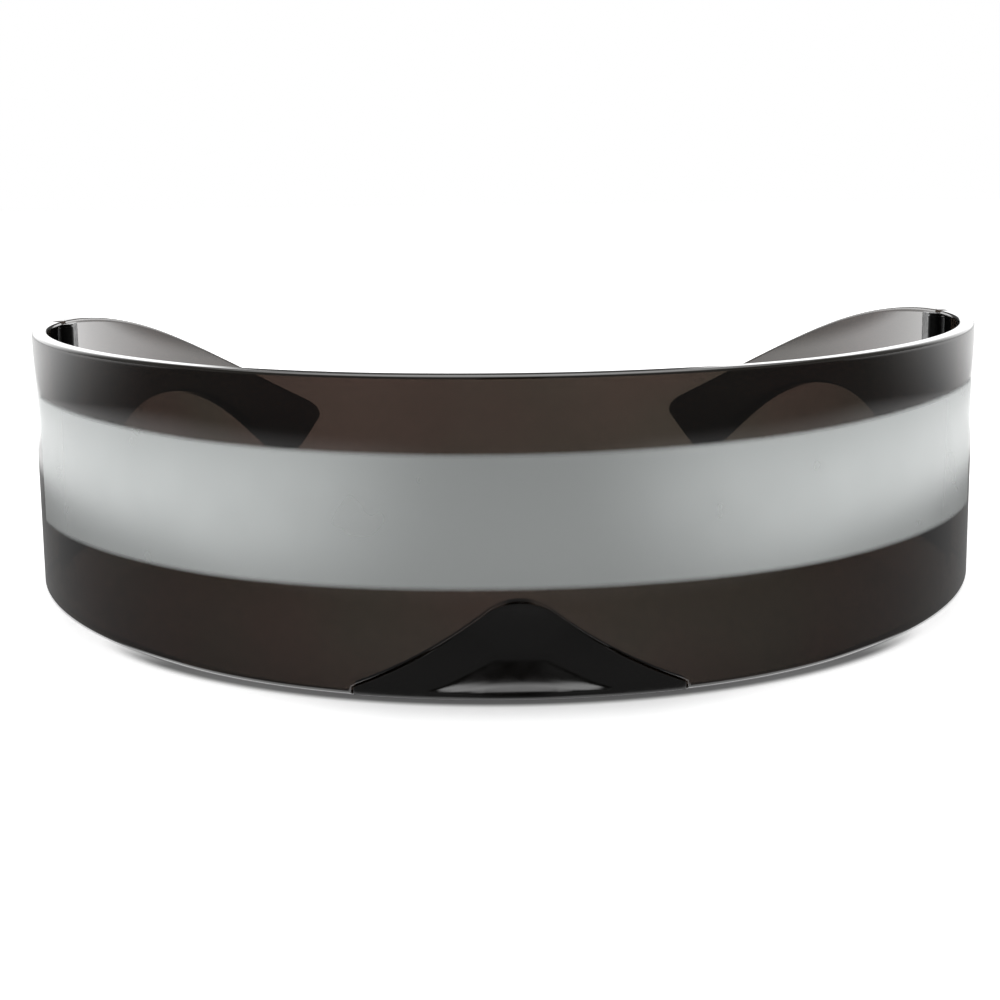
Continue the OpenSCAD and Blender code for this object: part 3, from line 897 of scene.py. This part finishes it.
def make_floor():
    """White table that keeps the shadow, with a painted contact shadow under the
    shield's front edge and a painted glow. Gloss on the glasses sees painted light
    on it instead, white behind them and dim in front, where the real room was dark."""
    half = TABLE_HALF * MM
    mesh = bpy.data.meshes.new("table")
    corners = [(-half, -half), (half, -half), (half, half), (-half, half)]
    mesh.from_pydata([(x, y, -TABLE_DROP * MM) for x, y in corners], [], [[0, 1, 2, 3]])
    floor = show("table", mesh)
    mat, tree = new_material("matt white table")
    path = add(tree, "ShaderNodeLightPath").outputs
    spot = add(tree, "ShaderNodeTexCoord").outputs["Object"]
    parts = add(tree, "ShaderNodeSeparateXYZ", {0: spot}).outputs

    def vector(kind, inputs):
        return add(tree, "ShaderNodeVectorMath", inputs, operation=kind).outputs

    def product(a, b):
        return maths(tree, "MULTIPLY", a, b)

    def run(value, span, ends=(0.0, 1.0), start=0):
        return ramp(tree, value, [(start + s) * MM for s in span], ends)

    bow_centre = (0.0, (FRONT_R + SET_BACK) * MM, 0.0)
    from_bow = vector("LENGTH", {0: vector("SUBTRACT", {0: spot, 1: bow_centre})[0]})["Value"]
    far, back = vector("LENGTH", {0: spot})["Value"], parts["Y"]
    across = maths(tree, "ABSOLUTE", parts["X"])

    # Painted light and shade on the table: a glow that lifts the white near the
    # glasses and far from them, least right at the front edge, and a painted contact
    # shadow, the dark line where the shield's front edge stands on the table
    outside = run(from_bow, OUTSIDE_BOW_SPAN, start=FRONT_R)
    by_edge = product(outside, run(back, FRONT_EDGE_SPAN, (1.0, 0.0)))
    lift = run(from_bow, BOW_SPAN, BOW_GLOW, FRONT_R)
    beside = run(across, BESIDE_SPAN, BESIDE_GLOW)
    lift = maths(tree, "MULTIPLY_ADD", beside, outside, lift)
    lift = maths(tree, "ADD", lift, run(far, FAR_SPAN, FAR_GLOW))
    # Painted contact shadow: it darkens the table's paint and its glow just outside the front edge
    contact_shadow = run(from_bow, CONTACT_BOW_SPAN, CONTACT_SHADE, FRONT_R)
    clear = maths(tree, "SUBTRACT", 1.0, product(contact_shadow, by_edge))
    lift, white = product(lift, clear), product(clear, TABLE_WHITE)

    # Painted light that only gloss sees on the table, in place of a reflection: white
    # behind, brighter between and around the arms, and a painted highlight, a thin
    # light line under the edge
    between = run(back, BETWEEN_SPAN, BETWEEN_LIGHT)
    between = product(between, run(across, BETWEEN_SIDE_SPAN, (1.0, 0.0)))
    behind = maths(tree, "ADD", run(back, REAR_SPAN, REAR_LIGHT), between)
    ring = product(run(far, RING_INNER_SPAN), run(far, RING_OUTER_SPAN, (1.0, 0.0)))
    ring = product(ring, run(across, RING_SIDE_SPAN, RING_LIGHT))
    painted_lip_highlight = product(run(from_bow, LIP_BOW_SPAN, LIP_LIGHT, FRONT_R), by_edge)
    mirrored = maths(tree, "MAXIMUM", behind, run(far, NEAR_SPAN, NEAR_LIGHT))
    mirrored = maths(tree, "MAXIMUM", maths(tree, "MAXIMUM", mirrored, ring), painted_lip_highlight)

    seen = maths(tree, "MAXIMUM", path["Is Camera Ray"], path["Is Transmission Ray"])
    colour = add(tree, "ShaderNodeCombineColor", {0: white, 1: white, 2: white}).outputs[0]
    paint = add(tree, "ShaderNodeBsdfDiffuse", {"Color": colour})
    # Painted glow: the table gives off light, as much as lift, to the camera's rays and to rays
    # through glass
    painted_glow = add(tree, "ShaderNodeEmission", {"Strength": product(seen, lift)})
    plain = add(tree, "ShaderNodeAddShader", {0: paint.outputs[0], 1: painted_glow.outputs[0]})
    # Painted reflections: this light is all that glossy rays see of the table
    room = add(tree, "ShaderNodeEmission", {"Strength": mirrored})
    both = mix_shaders(tree, path["Is Glossy Ray"], plain.outputs[0], room.outputs[0])
    surface(tree, both)
    mesh.materials.append(mat)


def make_world():
    """White studio with a bright wall behind the glasses, dim where the camera
    stands, and a bright ceiling."""
    world = bpy.data.worlds.new("studio")
    world.use_nodes = True
    tree = world.node_tree
    tree.nodes.clear()
    way = add(tree, "ShaderNodeTexCoord").outputs["Generated"]
    split = add(tree, "ShaderNodeSeparateXYZ", {0: way}).outputs
    strip = maths(
        tree,
        "MULTIPLY",
        ramp(tree, split["Z"], STRIP_FOOT_SPAN),
        ramp(tree, split["Z"], STRIP_TOP_SPAN, (1.0, 0.0)),
    )
    brighter = maths(tree, "MULTIPLY_ADD", strip, STRIP_GAIN, 1.0)
    room = maths(tree, "MULTIPLY", ramp(tree, split["Y"], WALL_SPAN, WALL_LIGHT), brighter)
    askew = ramp(tree, maths(tree, "ABSOLUTE", split["X"]), ASKEW_SPAN, ASKEW_LIGHT)
    room = maths(tree, "MULTIPLY", room, askew)
    room = maths(tree, "MAXIMUM", room, ramp(tree, split["Z"], CEILING_SPAN, CEILING_LIGHT))
    path = add(tree, "ShaderNodeLightPath").outputs
    seen = maths(tree, "MAXIMUM", path["Is Camera Ray"], path["Is Transmission Ray"])

    def pick(share, first, second):
        inputs = {"Factor": share, "A": first, "B": second}
        return add(tree, "ShaderNodeMix", inputs, data_type="FLOAT").outputs["Result"]

    strength = pick(seen, pick(path["Is Glossy Ray"], AMBIENT, room), 1.0)
    light = add(tree, "ShaderNodeBackground", {"Color": (1, 1, 1, 1), "Strength": strength})
    add(tree, "ShaderNodeOutputWorld", {"Surface": light.outputs[0]})
    bpy.context.scene.world = world


def make_lamp():
    """Wide soft lamp above the glasses, aimed at them."""
    data = bpy.data.lights.new("overhead", "AREA")
    data.shape, data.size, data.energy = "SQUARE", LAMP_SIZE * MM, LAMP_POWER
    lamp = bpy.data.objects.new("overhead", data)
    place = Vector(LAMP_AT) * MM
    turn = (-place).to_track_quat("-Z", "Y").to_matrix().to_4x4()
    lamp.matrix_world = Matrix.Translation(place) @ turn
    lamp.visible_glossy = False
    bpy.context.scene.collection.objects.link(lamp)


def make_camera():
    """The photograph's view: just above the shield, looking down at it."""
    place = to_frame(*CAMERA_AT)
    pitch, yaw, roll = CAMERA_PITCH, CAMERA_YAW, CAMERA_ROLL
    ahead = Vector((sin(yaw) * cos(pitch), cos(yaw) * cos(pitch), -sin(pitch)))
    right = ahead.cross(Vector((0, 0, 1))).normalized()
    up = right.cross(ahead)
    r = right * cos(roll) + up * sin(roll)
    u = up * cos(roll) - right * sin(roll)
    data = bpy.data.cameras.new("camera")
    data.sensor_width = 36
    data.lens = FOCAL_PX / FRAME_PX * data.sensor_width
    data.clip_start = 0.01
    camera = bpy.data.objects.new("camera", data)
    m = Matrix((r, u, -ahead)).transposed().to_4x4()
    camera.matrix_world = Matrix.Translation(place) @ m
    bpy.context.scene.collection.objects.link(camera)
    bpy.context.scene.camera = camera


make_floor()
make_world()
make_lamp()
make_camera()
bpy.context.scene.view_settings.view_transform = "Standard"
